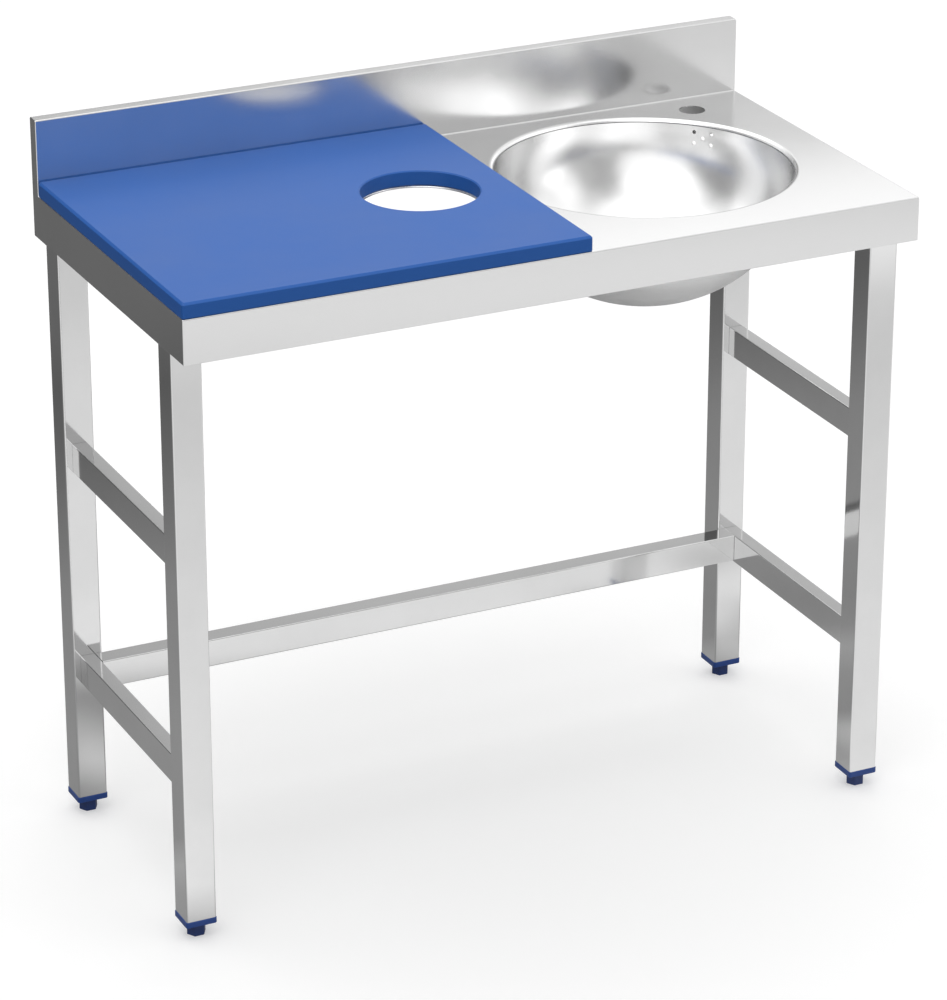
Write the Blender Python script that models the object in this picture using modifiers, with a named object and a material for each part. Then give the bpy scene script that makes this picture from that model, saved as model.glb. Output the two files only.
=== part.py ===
# Stainless steel sink table with a drop-on blue cutting board.
# Metres, +Z up, +X along the worktop, front edge at -Y.
# The origin is on the floor under the middle of the worktop.

import math

import bmesh
import bpy

MM = 0.001

# Gap left between pieces that touch, are welded or are bolted together
SEAT_GAP = 0.3 * MM

# Worktop, one folded sheet with apron, return lips and splashback
TABLE_LENGTH = 1000 * MM
TABLE_DEPTH = 500 * MM
WORKTOP_HEIGHT = 850 * MM
SHEET = 1.2 * MM
BEND_RADIUS = 2.5 * MM
APRON_HEIGHT = 58 * MM
LIP_WIDTH = 15 * MM
SPLASH_HEIGHT = 100 * MM
SPLASH_DEPTH = 19 * MM
SPLASH_DOWNTURN = 20 * MM
SPLASH_BACK_RETURN = 12 * MM

# Round bowl welded under a drawn-down opening
BOWL_FROM_RIGHT = 257 * MM
BOWL_REARWARD = 15.5 * MM
BOWL_RADIUS = 191.5 * MM
BOWL_SHEET = 1.0 * MM
BOWL_DEPTH = 176 * MM
BOWL_WALL_STRAIGHT = 5 * MM
RIM_BEND = 5.5 * MM
RIM_COLLAR = 10 * MM
DRAIN_RADIUS = 26 * MM
DRAIN_SEAT_RADIUS = 42 * MM
DRAIN_SEAT_DROP = 4 * MM
DRAIN_SEAT_SLOPE = 5 * MM

# Overflow holes, five like the spots on a die, high at the back right of the bowl
OVERFLOW_RADIUS = 2.7 * MM
OVERFLOW_BEARING = 37.8
OVERFLOW_BELOW_TOP = 21 * MM
OVERFLOW_HALF_WIDTH = 12.5 * MM
OVERFLOW_HALF_HEIGHT = 7.5 * MM
OVERFLOW_REACH = 15 * MM

# Tap hole behind the bowl
TAP_FROM_RIGHT = 92 * MM
TAP_FROM_SPLASH = 49 * MM
TAP_RADIUS = 17.5 * MM

# Waste chute through worktop and board
CHUTE_FROM_BOARD_END = 119.5 * MM
CHUTE_REARWARD = 2 * MM
CHUTE_RADIUS = 78 * MM
CHUTE_BEND = 3 * MM
CHUTE_COLLAR = 8 * MM

# Loose cutting board, flush with the front and left edges of the worktop
BOARD_BOWL_GAP = 7 * MM
BOARD_THICKNESS = 20 * MM
BOARD_EDGE_SETBACK = 0.4 * MM
BOARD_SPLASH_GAP = 1 * MM
BOARD_CORNER = 4 * MM
BOARD_CHAMFER = 3 * MM
BOARD_HOLE_RADIUS = 75.5 * MM
BOARD_HOLE_CHAMFER = 2.6 * MM

# Square tube legs
LEG_WIDTH = 40 * MM
LEG_WALL = 1.2 * MM
LEG_CORNER = 2.5 * MM
LEG_SETBACK_FRONT = 45.6 * MM
LEG_SETBACK_REAR = 36.8 * MM

# Rails between the legs
SIDE_RAIL_WIDTH = 20 * MM
SIDE_RAIL_HEIGHT = 40 * MM
UPPER_RAIL_TOP = 532.5 * MM
LOWER_RAIL_TOP = 233 * MM
REAR_RAIL_DEPTH = 29 * MM
REAR_RAIL_HEIGHT = 38 * MM
RAIL_WALL = 1.2 * MM
RAIL_CORNER = 2 * MM

# Foot insert, a plastic plate with a hollow spigot pushed into the leg
PLATE_OVERHANG = 0.9 * MM
PLATE_THICKNESS = 7.8 * MM
PLATE_CORNER = 3.5 * MM
PLATE_EDGE = 0.8 * MM
SPIGOT_HEIGHT = 26 * MM
SPIGOT_WALL = 2.5 * MM
SPIGOT_WEB = 2.5 * MM
BOSS_WALL = 2.4 * MM
BOSS_FLOOR = 4 * MM

# Levelling foot, a plastic hexagon moulded round a threaded stud
FOOT_HEIGHT = 19 * MM
FOOT_ACROSS_FLATS = 22 * MM
FOOT_EDGE = 1.2 * MM
STUD_RADIUS = 5 * MM
STUD_LENGTH = 50 * MM
STUD_CLEARANCE = 0.3 * MM
NUT_ACROSS_FLATS = 17 * MM
NUT_HEIGHT = 8 * MM

# Folded bracket that carries the worktop on each leg
BRACKET_PLATE = 2.5 * MM
BRACKET_DROP = 46 * MM
BOLT_RADIUS = 4 * MM
BOLT_CLEARANCE = 0.5 * MM
BOLT_HEAD_ACROSS_FLATS = 13 * MM
BOLT_HEAD_HEIGHT = 5.3 * MM
BOLT_SHANK = 16 * MM
BOLT_EDGE_DISTANCE = 12 * MM
BOLT_PITCH = 24 * MM
NUT_PLATE_THICKNESS = 4 * MM
NUT_PLATE_WIDTH = 26 * MM
NUT_PLATE_MARGIN = 10 * MM

# Top-hat channels that stiffen the worktop sheet
CHANNEL_CROWN = 22 * MM
CHANNEL_FLANGE = 11 * MM
CHANNEL_DEPTH = 20 * MM
CHANNEL_SHEET = 1.2 * MM
CHANNEL_END_GAP = 3 * MM
CHANNEL_CHUTE_GAP = 18 * MM

# Facets of round shapes
BOWL_STEPS = 48
BOWL_CURVE_STEPS = 11
CHUTE_STEPS = 40
HOLE_STEPS = 24
SMALL_STEPS = 16
OVERFLOW_STEPS = 12
BEND_STEPS = 3
RIM_STEPS = 4

# How far cutters reach past the faces they cut
CUT_OVERRUN = 5 * MM
TANGENT_LIFT = 0.05 * MM

HALF_LENGTH = TABLE_LENGTH / 2
HALF_DEPTH = TABLE_DEPTH / 2
APRON_BOTTOM = WORKTOP_HEIGHT - APRON_HEIGHT
SHEET_UNDERSIDE = WORKTOP_HEIGHT - SHEET
SPLASH_FACE_Y = HALF_DEPTH - SPLASH_DEPTH
SPLASH_TOP = WORKTOP_HEIGHT + SPLASH_HEIGHT

BOWL_X = HALF_LENGTH - BOWL_FROM_RIGHT
BOWL_Y = (SPLASH_FACE_Y - HALF_DEPTH) / 2 + BOWL_REARWARD
BOARD_END_X = BOWL_X - BOWL_RADIUS - RIM_BEND - BOARD_BOWL_GAP
CHUTE_X = BOARD_END_X - CHUTE_FROM_BOARD_END
CHUTE_Y = (SPLASH_FACE_Y - HALF_DEPTH) / 2 + CHUTE_REARWARD
TAP_X = HALF_LENGTH - TAP_FROM_RIGHT
TAP_Y = SPLASH_FACE_Y - TAP_FROM_SPLASH

LEG_OUTER_X = HALF_LENGTH - SHEET - SEAT_GAP
LEG_X = LEG_OUTER_X - LEG_WIDTH / 2
LEG_INNER_X = LEG_OUTER_X - LEG_WIDTH
FRONT_LEG_Y = LEG_SETBACK_FRONT + LEG_WIDTH / 2 - HALF_DEPTH
REAR_LEG_Y = HALF_DEPTH - LEG_SETBACK_REAR - LEG_WIDTH / 2
LEG_BOTTOM = FOOT_HEIGHT + PLATE_THICKNESS + SEAT_GAP
BRACKET_TOP = SHEET_UNDERSIDE - SEAT_GAP
LEG_TOP = BRACKET_TOP - BRACKET_PLATE - SEAT_GAP

SIDES = {"left": -1, "right": 1}
ENDS = {"front": FRONT_LEG_Y, "rear": REAR_LEG_Y}


def clear_scene():
    for obj in list(bpy.data.objects):
        bpy.data.objects.remove(obj, do_unlink=True)


def make_collection(name):
    collection = bpy.data.collections.new(name)
    bpy.context.scene.collection.children.link(collection)
    return collection


def make_material(name, colour, metallic, roughness):
    material = bpy.data.materials.new(name)
    material.use_nodes = True
    shader = material.node_tree.nodes["Principled BSDF"]
    shader.inputs["Base Color"].default_value = (*colour, 1.0)
    shader.inputs["Metallic"].default_value = metallic
    shader.inputs["Roughness"].default_value = roughness
    material.diffuse_color = (*colour, 1.0)
    return material


clear_scene()
PARTS = make_collection("sink_table")
CUTTERS = make_collection("cutters")
WORKTOP_STEEL = make_material("worktop_steel", (0.62, 0.62, 0.62), 1.0, 0.28)
BOWL_STEEL = make_material("bowl_steel", (0.66, 0.66, 0.66), 1.0, 0.3)
TUBE_STEEL = make_material("tube_steel", (0.55, 0.56, 0.56), 1.0, 0.12)
FIXING_STEEL = make_material("fixing_steel", (0.5, 0.5, 0.5), 1.0, 0.35)
BOARD_PLASTIC = make_material("board_plastic", (0.1, 0.21, 0.52), 0.0, 0.5)
FOOT_PLASTIC = make_material("foot_plastic", (0.02, 0.05, 0.19), 0.0, 0.45)


def add_object(name, mesh, material=None):
    obj = bpy.data.objects.new(name, mesh)
    if material is None:
        CUTTERS.objects.link(obj)
        obj.hide_render = True
        obj.display_type = "WIRE"
    else:
        PARTS.objects.link(obj)
        obj.data.materials.append(material)
    return obj


def mesh_from(bm, name):
    mesh = bpy.data.meshes.new(name)
    bmesh.ops.recalc_face_normals(bm, faces=bm.faces)
    bm.to_mesh(mesh)
    bm.free()
    return mesh


def boolean(obj, other, operation="DIFFERENCE"):
    modifier = obj.modifiers.new(f"{operation.lower()} {other.name}", "BOOLEAN")
    modifier.operation = operation
    modifier.solver = "EXACT"
    modifier.object = other


def cut_together(obj, cutters):
    """One cut with several cutters, kept in a collection of their own."""
    group = bpy.data.collections.new(f"{obj.name}_cutters")
    CUTTERS.children.link(group)
    for cutter in cutters:
        CUTTERS.objects.unlink(cutter)
        group.objects.link(cutter)
    modifier = obj.modifiers.new("cuts", "BOOLEAN")
    modifier.operation = "DIFFERENCE"
    modifier.solver = "EXACT"
    modifier.operand_type = "COLLECTION"
    modifier.collection = group


def bevel_edges(bm, axis, radius, segments):
    """Round the edges that run along one axis (0, 1 or 2), or every edge for None."""
    edges = []
    for edge in bm.edges:
        direction = (edge.verts[1].co - edge.verts[0].co).normalized()
        if axis is None or abs(direction[axis]) > 0.999:
            edges.append(edge)
    bmesh.ops.bevel(bm, geom=edges, offset=radius, segments=segments, profile=0.5, affect="EDGES")


def add_box(name, low, high, material=None, axis=2, radius=0.0, segments=BEND_STEPS):
    """A block between two corners, with the edges along one axis rounded."""
    size = [high[i] - low[i] for i in range(3)]
    centre = [(high[i] + low[i]) / 2 for i in range(3)]
    bm = bmesh.new()
    bmesh.ops.create_cube(bm, size=1.0)
    bmesh.ops.scale(bm, vec=size, verts=bm.verts)
    if radius > 0.0:
        bevel_edges(bm, axis, radius, segments)
    obj = add_object(name, mesh_from(bm, name), material)
    obj.location = centre
    return obj


def add_prism(name, sides, radius, bottom, top, location, material=None, turn=0.0):
    """An upright cylinder or hexagonal bar at a place on the plan."""
    bm = bmesh.new()
    bmesh.ops.create_cone(bm, cap_ends=True, segments=sides, radius1=radius, radius2=radius, depth=top - bottom)
    obj = add_object(name, mesh_from(bm, name), material)
    obj.location = (location[0], location[1], (top + bottom) / 2)
    obj.rotation_euler = (0.0, 0.0, turn)
    return obj


def add_cross_prism(name, sides, radius, start, end, location, material=None):
    """A cylinder or hexagonal bar that lies along X, at a (y, z) place."""
    obj = add_prism(name, sides, radius, 0.0, abs(end - start), (0.0, 0.0), material)
    obj.location = ((start + end) / 2, location[0], location[1])
    obj.rotation_euler = (0.0, math.pi / 2, 0.0)
    return obj


def add_turned(name, profile, steps, location, material=None):
    """A profile of (radius, height) points turned about an upright axis."""
    mesh = bpy.data.meshes.new(name)
    points = [(radius, 0.0, height) for radius, height in profile]
    mesh.from_pydata(points, [(i, i + 1) for i in range(len(points) - 1)], [])
    obj = add_object(name, mesh, material)
    obj.location = (location[0], location[1], 0.0)
    screw = obj.modifiers.new("turn", "SCREW")
    screw.axis = "Z"
    screw.steps = steps
    screw.render_steps = steps
    screw.use_merge_vertices = True
    screw.merge_threshold = 0.0001
    screw.use_smooth_shade = True
    return obj


def add_extruded(name, outline, length, material=None):
    """A flat (y, z) outline drawn as a curve and extruded along X, made a clean mesh."""
    curve = bpy.data.curves.new(name, "CURVE")
    curve.dimensions = "2D"
    curve.fill_mode = "BOTH"
    curve.extrude = length / 2
    spline = curve.splines.new("POLY")
    spline.points.add(len(outline) - 1)
    for point, (across, up) in zip(spline.points, outline):
        point.co = (across, up, 0.0, 1.0)
    spline.use_cyclic_u = True
    guide = bpy.data.objects.new(name, curve)
    CUTTERS.objects.link(guide)
    bpy.context.view_layer.update()
    evaluated = guide.evaluated_get(bpy.context.evaluated_depsgraph_get())
    bm = bmesh.new()
    bm.from_mesh(bpy.data.meshes.new_from_object(evaluated))
    bpy.data.objects.remove(guide, do_unlink=True)
    bmesh.ops.remove_doubles(bm, verts=bm.verts, dist=0.00001)
    bmesh.ops.dissolve_limit(bm, angle_limit=0.01, verts=bm.verts, edges=bm.edges)
    obj = add_object(name, mesh_from(bm, name), material)
    obj.rotation_euler = (math.pi / 2, 0.0, math.pi / 2)
    return obj


def arc(centre, radius, start, end, steps):
    """Points of an arc in (radius, height), angles in degrees."""
    points = []
    for i in range(steps + 1):
        angle = math.radians(start + (end - start) * i / steps)
        points.append((centre[0] + radius * math.cos(angle), centre[1] + radius * math.sin(angle)))
    return points


def add_bevel(obj, width, segments):
    bevel = obj.modifiers.new("bends", "BEVEL")
    bevel.width = width
    bevel.segments = segments
    bevel.limit_method = "ANGLE"
    bevel.use_clamp_overlap = True
    return bevel


def worktop_outline():
    """Section of the worktop with its splashback, front edge first."""
    return [
        (-HALF_DEPTH, APRON_BOTTOM),
        (HALF_DEPTH, APRON_BOTTOM),
        (HALF_DEPTH, SPLASH_TOP),
        (SPLASH_FACE_Y, SPLASH_TOP),
        (SPLASH_FACE_Y, WORKTOP_HEIGHT),
        (-HALF_DEPTH, WORKTOP_HEIGHT),
    ]


def collar_block(name, radius, bend, depth, steps, location):
    """Material round a drawn-down opening, kept when the underside is hollowed."""
    outer = radius + SHEET
    inner_bend = bend - SHEET
    centre = (radius + bend, WORKTOP_HEIGHT - bend + TANGENT_LIFT)
    profile = [(0.0, WORKTOP_HEIGHT - SHEET / 2), (radius + bend, WORKTOP_HEIGHT - SHEET / 2)]
    profile += arc(centre, inner_bend, 90.0, 180.0, RIM_STEPS)
    profile += [(outer, WORKTOP_HEIGHT - depth), (0.0, WORKTOP_HEIGHT - depth)]
    return add_turned(name, profile, steps, location)


def collar_cutter(name, radius, bend, depth, steps, location):
    """The opening itself, with its rounded upper edge."""
    centre = (radius + bend, WORKTOP_HEIGHT - bend + TANGENT_LIFT)
    bottom = WORKTOP_HEIGHT - depth - CUT_OVERRUN
    profile = [(0.0, WORKTOP_HEIGHT + CUT_OVERRUN), (radius + bend, WORKTOP_HEIGHT + CUT_OVERRUN)]
    profile += arc(centre, bend, 90.0, 180.0, RIM_STEPS)
    profile += [(radius, bottom), (0.0, bottom)]
    return add_turned(name, profile, steps, location)


def underside_hollow():
    """The space below the sheet, inside the apron."""
    reach_x = HALF_LENGTH - SHEET
    reach_y = HALF_DEPTH - SHEET
    hollow = add_box(
        "underside_hollow", (-reach_x, -reach_y, APRON_BOTTOM + SHEET), (reach_x, reach_y, SHEET_UNDERSIDE),
        axis=None, radius=BEND_RADIUS - SHEET, segments=2)
    bowl = collar_block("bowl_collar", BOWL_RADIUS, RIM_BEND, RIM_COLLAR, BOWL_STEPS, (BOWL_X, BOWL_Y))
    chute = collar_block("chute_collar", CHUTE_RADIUS, CHUTE_BEND, CHUTE_COLLAR, CHUTE_STEPS, (CHUTE_X, CHUTE_Y))
    boolean(hollow, bowl)
    boolean(hollow, chute)
    return hollow


def splash_hollow():
    """The space inside the folded splashback."""
    reach_x = HALF_LENGTH - SHEET
    return add_box(
        "splash_hollow", (-reach_x, SPLASH_FACE_Y + SHEET, WORKTOP_HEIGHT),
        (reach_x, HALF_DEPTH - SHEET, SPLASH_TOP - SHEET), axis=None, radius=BEND_RADIUS - SHEET, segments=2)


def splash_window():
    """The back of the splashback is open inside its return lips."""
    reach_x = HALF_LENGTH - SPLASH_BACK_RETURN
    low = (-reach_x, HALF_DEPTH - SHEET - BEND_RADIUS, WORKTOP_HEIGHT + SPLASH_BACK_RETURN)
    return add_box("splash_window", low, (reach_x, HALF_DEPTH + CUT_OVERRUN, SPLASH_TOP - SPLASH_DOWNTURN))


def leg_notch(name, side, leg_y):
    """The side lip is cut away where a leg passes it."""
    outer = side * (LEG_OUTER_X + SEAT_GAP / 2)
    inner = side * (HALF_LENGTH - LIP_WIDTH - CUT_OVERRUN)
    reach = LEG_WIDTH / 2 + SEAT_GAP
    low = (min(outer, inner), leg_y - reach, APRON_BOTTOM - CUT_OVERRUN)
    high = (max(outer, inner), leg_y + reach, APRON_BOTTOM + SHEET + BEND_RADIUS)
    return add_box(name, low, high)


def make_worktop():
    worktop = add_extruded("worktop", worktop_outline(), TABLE_LENGTH, WORKTOP_STEEL)
    add_bevel(worktop, BEND_RADIUS, BEND_STEPS)
    cutters = [underside_hollow(), splash_hollow(), splash_window()]
    mouth_x = HALF_LENGTH - LIP_WIDTH
    mouth_y = HALF_DEPTH - LIP_WIDTH
    mouth_low = (-mouth_x, -mouth_y, APRON_BOTTOM - CUT_OVERRUN)
    mouth_high = (mouth_x, mouth_y, APRON_BOTTOM + SHEET + CUT_OVERRUN)
    cutters.append(add_box("lip_mouth", mouth_low, mouth_high))
    for side_name, side in SIDES.items():
        for end_name, leg_y in ENDS.items():
            cutters.append(leg_notch(f"lip_notch_{end_name}_{side_name}", side, leg_y))
    cutters.append(collar_cutter(
        "bowl_opening", BOWL_RADIUS, RIM_BEND, RIM_COLLAR, BOWL_STEPS, (BOWL_X, BOWL_Y)))
    cutters.append(collar_cutter(
        "chute_opening", CHUTE_RADIUS, CHUTE_BEND, CHUTE_COLLAR, CHUTE_STEPS, (CHUTE_X, CHUTE_Y)))
    cutters.append(add_prism(
        "tap_hole", HOLE_STEPS, TAP_RADIUS, SHEET_UNDERSIDE - CUT_OVERRUN, WORKTOP_HEIGHT + CUT_OVERRUN,
        (TAP_X, TAP_Y)))
    cut_together(worktop, cutters)
    return worktop


def bowl_profile():
    """Inner face of the bowl, from the rim down its side to the drain."""
    top = WORKTOP_HEIGHT - RIM_COLLAR - SEAT_GAP
    spring = top - BOWL_WALL_STRAIGHT
    floor = WORKTOP_HEIGHT - BOWL_DEPTH
    rise = spring - floor
    seat_edge = math.asin(DRAIN_SEAT_RADIUS / BOWL_RADIUS)
    points = [(BOWL_RADIUS, top)]
    for i in range(BOWL_CURVE_STEPS + 1):
        angle = math.pi / 2 - (math.pi / 2 - seat_edge) * i / BOWL_CURVE_STEPS
        points.append((BOWL_RADIUS * math.sin(angle), spring - rise * math.cos(angle)))
    seat_height = points[-1][1] - DRAIN_SEAT_DROP
    points.append((DRAIN_SEAT_RADIUS - DRAIN_SEAT_SLOPE, seat_height))
    points.append((DRAIN_RADIUS, seat_height))
    return points


def make_bowl():
    bowl = add_turned("sink_bowl", bowl_profile(), BOWL_STEPS, (BOWL_X, BOWL_Y), BOWL_STEEL)
    wall = bowl.modifiers.new("sheet", "SOLIDIFY")
    wall.thickness = BOWL_SHEET
    wall.offset = 1.0
    wall.use_even_offset = True
    height = WORKTOP_HEIGHT - OVERFLOW_BELOW_TOP
    bearing = math.radians(OVERFLOW_BEARING)
    swing = OVERFLOW_HALF_WIDTH / BOWL_RADIUS
    spots = [(0, 0), (-1, -1), (-1, 1), (1, -1), (1, 1)]
    for number, (across, up) in enumerate(spots, start=1):
        angle = bearing + across * swing
        drill = add_prism(
            f"overflow_{number}", OVERFLOW_STEPS, OVERFLOW_RADIUS, -OVERFLOW_REACH, OVERFLOW_REACH, (0.0, 0.0))
        drill.location = (
            BOWL_X + BOWL_RADIUS * math.cos(angle),
            BOWL_Y + BOWL_RADIUS * math.sin(angle),
            height + up * OVERFLOW_HALF_HEIGHT,
        )
        drill.rotation_euler = (0.0, math.pi / 2, angle)
        boolean(bowl, drill)
    return bowl


def make_board():
    low = (-HALF_LENGTH + BOARD_EDGE_SETBACK, -HALF_DEPTH + BOARD_EDGE_SETBACK, WORKTOP_HEIGHT + SEAT_GAP)
    high = (BOARD_END_X, SPLASH_FACE_Y - BOARD_SPLASH_GAP, low[2] + BOARD_THICKNESS)
    board = add_box("cutting_board", low, high, BOARD_PLASTIC, axis=2, radius=BOARD_CORNER, segments=4)
    add_bevel(board, BOARD_CHAMFER, 2)
    top = high[2]
    flare = BOARD_HOLE_RADIUS + BOARD_HOLE_CHAMFER + CUT_OVERRUN
    profile = [
        (0.0, top + CUT_OVERRUN),
        (flare, top + CUT_OVERRUN),
        (BOARD_HOLE_RADIUS, top - BOARD_HOLE_CHAMFER),
        (BOARD_HOLE_RADIUS, low[2] - CUT_OVERRUN),
        (0.0, low[2] - CUT_OVERRUN),
    ]
    boolean(board, add_turned("board_hole", profile, CHUTE_STEPS, (CHUTE_X, CHUTE_Y)))
    return board


def add_tube(name, low, high, axis, wall, corner, material):
    """A rectangular tube that runs along one axis."""
    tube = add_box(name, low, high, material, axis=axis, radius=corner)
    bore_low = [low[i] + wall for i in range(3)]
    bore_high = [high[i] - wall for i in range(3)]
    bore_low[axis] = low[axis] - CUT_OVERRUN
    bore_high[axis] = high[axis] + CUT_OVERRUN
    bore = add_box(f"{name}_bore", bore_low, bore_high, axis=axis, radius=corner - wall, segments=2)
    boolean(tube, bore)
    return tube


def bolt_heights():
    first = BRACKET_TOP - BRACKET_PLATE - BOLT_EDGE_DISTANCE
    return {"upper": first, "lower": first - BOLT_PITCH}


def bolt_hole(name, radius, side, leg_y, height):
    """A drill through the inner wall of a leg and what is bolted to it."""
    start = side * (LEG_INNER_X - BRACKET_PLATE - CUT_OVERRUN)
    end = side * (LEG_INNER_X + LEG_WALL + NUT_PLATE_THICKNESS + CUT_OVERRUN)
    return add_cross_prism(name, SMALL_STEPS, radius, start, end, (leg_y, height))


def make_leg(place, side, leg_y):
    low = (side * LEG_X - LEG_WIDTH / 2, leg_y - LEG_WIDTH / 2, LEG_BOTTOM)
    high = (side * LEG_X + LEG_WIDTH / 2, leg_y + LEG_WIDTH / 2, LEG_TOP)
    leg = add_tube(f"leg_{place}", low, high, 2, LEG_WALL, LEG_CORNER, TUBE_STEEL)
    for level, height in bolt_heights().items():
        boolean(leg, bolt_hole(f"leg_drill_{level}_{place}", BOLT_RADIUS + BOLT_CLEARANCE, side, leg_y, height))
    return leg


def make_bracket(place, side, leg_y):
    """A folded plate over the top of the leg and down its inner face."""
    inner = side * (LEG_INNER_X - SEAT_GAP - BRACKET_PLATE)
    outer = side * LEG_OUTER_X
    reach = LEG_WIDTH / 2
    low = (min(inner, outer), leg_y - reach, BRACKET_TOP - BRACKET_PLATE - BRACKET_DROP)
    high = (max(inner, outer), leg_y + reach, BRACKET_TOP)
    bracket = add_box(f"leg_bracket_{place}", low, high, FIXING_STEEL, axis=1, radius=LEG_CORNER)
    pocket_face = side * (LEG_INNER_X - SEAT_GAP)
    pocket_end = side * (LEG_OUTER_X + CUT_OVERRUN)
    pocket_low = (min(pocket_face, pocket_end), low[1] - CUT_OVERRUN, low[2] - CUT_OVERRUN)
    pocket_high = (max(pocket_face, pocket_end), high[1] + CUT_OVERRUN, BRACKET_TOP - BRACKET_PLATE)
    boolean(bracket, add_box(f"bracket_pocket_{place}", pocket_low, pocket_high))
    for level, height in bolt_heights().items():
        hole = bolt_hole(f"bracket_drill_{level}_{place}", BOLT_RADIUS + BOLT_CLEARANCE, side, leg_y, height)
        boolean(bracket, hole)
    return bracket


def make_nut_plate(place, side, leg_y):
    """A plate with two threaded holes inside the leg, behind its inner wall."""
    near = side * (LEG_INNER_X + LEG_WALL + SEAT_GAP)
    far = near + side * NUT_PLATE_THICKNESS
    heights = bolt_heights()
    low = (min(near, far), leg_y - NUT_PLATE_WIDTH / 2, heights["lower"] - NUT_PLATE_MARGIN)
    high = (max(near, far), leg_y + NUT_PLATE_WIDTH / 2, heights["upper"] + NUT_PLATE_MARGIN)
    plate = add_box(f"leg_nut_plate_{place}", low, high, FIXING_STEEL, axis=0, radius=LEG_CORNER, segments=2)
    for level, height in heights.items():
        boolean(plate, bolt_hole(f"plate_tap_{level}_{place}", BOLT_RADIUS + SEAT_GAP, side, leg_y, height))
    return plate


def make_bolt(place, level, side, leg_y, height):
    seat = side * (LEG_INNER_X - BRACKET_PLATE - 2 * SEAT_GAP)
    head_end = seat - side * BOLT_HEAD_HEIGHT
    shank_end = seat + side * BOLT_SHANK
    head_radius = BOLT_HEAD_ACROSS_FLATS / math.sqrt(3)
    name = f"leg_bolt_{level}_{place}"
    bolt = add_cross_prism(name, 6, head_radius, seat, head_end, (leg_y, height), FIXING_STEEL)
    shank = add_cross_prism(
        f"{name}_shank", SMALL_STEPS, BOLT_RADIUS, seat - side * BOLT_HEAD_HEIGHT / 2, shank_end, (leg_y, height))
    boolean(bolt, shank, "UNION")
    return bolt


def make_insert(place, side, leg_y):
    """Plate under the leg with a webbed hollow spigot and a boss that holds the nut."""
    x = side * LEG_X
    plate_half = LEG_WIDTH / 2 + PLATE_OVERHANG
    plate_top = FOOT_HEIGHT + PLATE_THICKNESS
    insert = add_box(
        f"foot_insert_{place}", (x - plate_half, leg_y - plate_half, FOOT_HEIGHT),
        (x + plate_half, leg_y + plate_half, plate_top), FOOT_PLASTIC, radius=PLATE_CORNER)
    add_bevel(insert, PLATE_EDGE, 1)
    spigot_half = LEG_WIDTH / 2 - LEG_WALL - SEAT_GAP
    spigot_top = plate_top + SPIGOT_HEIGHT
    overlap = PLATE_THICKNESS / 2
    spigot = add_box(
        f"spigot_{place}", (x - spigot_half, leg_y - spigot_half, plate_top - overlap),
        (x + spigot_half, leg_y + spigot_half, spigot_top), radius=LEG_CORNER - LEG_WALL, segments=2)
    boolean(insert, spigot, "UNION")
    near = SPIGOT_WEB / 2
    far = spigot_half - SPIGOT_WALL
    for across in (-1, 1):
        for along in (-1, 1):
            xs = sorted((x + across * near, x + across * far))
            ys = sorted((leg_y + along * near, leg_y + along * far))
            pocket = add_box(
                f"spigot_pocket_{place}_{across + 1}{along + 1}", (xs[0], ys[0], plate_top),
                (xs[1], ys[1], spigot_top + CUT_OVERRUN))
            boolean(insert, pocket)
    boss_top = plate_top + BOSS_FLOOR + NUT_HEIGHT + 2 * SEAT_GAP
    nut_radius = NUT_ACROSS_FLATS / math.sqrt(3) + SEAT_GAP
    boss = add_prism(
        f"boss_{place}", HOLE_STEPS, nut_radius + BOSS_WALL, plate_top - overlap, boss_top, (x, leg_y))
    boolean(insert, boss, "UNION")
    bore_radius = STUD_RADIUS + STUD_CLEARANCE
    bore = add_prism(
        f"stud_bore_{place}", SMALL_STEPS, bore_radius, FOOT_HEIGHT - CUT_OVERRUN, spigot_top + CUT_OVERRUN,
        (x, leg_y))
    boolean(insert, bore)
    pocket = add_prism(
        f"nut_pocket_{place}", 6, nut_radius, plate_top + BOSS_FLOOR, spigot_top + CUT_OVERRUN, (x, leg_y))
    boolean(insert, pocket)
    return insert


def make_stud_nut(place, side, leg_y):
    bottom = FOOT_HEIGHT + PLATE_THICKNESS + BOSS_FLOOR + SEAT_GAP
    location = (side * LEG_X, leg_y)
    radius = NUT_ACROSS_FLATS / math.sqrt(3)
    nut = add_prism(f"stud_nut_{place}", 6, radius, bottom, bottom + NUT_HEIGHT, location, FIXING_STEEL)
    thread = add_prism(
        f"nut_thread_{place}", SMALL_STEPS, STUD_RADIUS + STUD_CLEARANCE, bottom - CUT_OVERRUN,
        bottom + NUT_HEIGHT + CUT_OVERRUN, location)
    boolean(nut, thread)
    return nut


def make_foot(place, side, leg_y):
    """Hexagonal foot and its stud in one piece, screwed fully in."""
    location = (side * LEG_X, leg_y)
    radius = FOOT_ACROSS_FLATS / math.sqrt(3)
    hexagon_top = FOOT_HEIGHT - SEAT_GAP
    foot = add_prism(
        f"levelling_foot_{place}", 6, radius, 0.0, hexagon_top, location, FOOT_PLASTIC, turn=math.pi / 2)
    add_bevel(foot, FOOT_EDGE, 2)
    stud = add_prism(
        f"foot_stud_{place}", SMALL_STEPS, STUD_RADIUS, hexagon_top / 2, hexagon_top + STUD_LENGTH, location)
    boolean(foot, stud, "UNION")
    return foot


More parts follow.
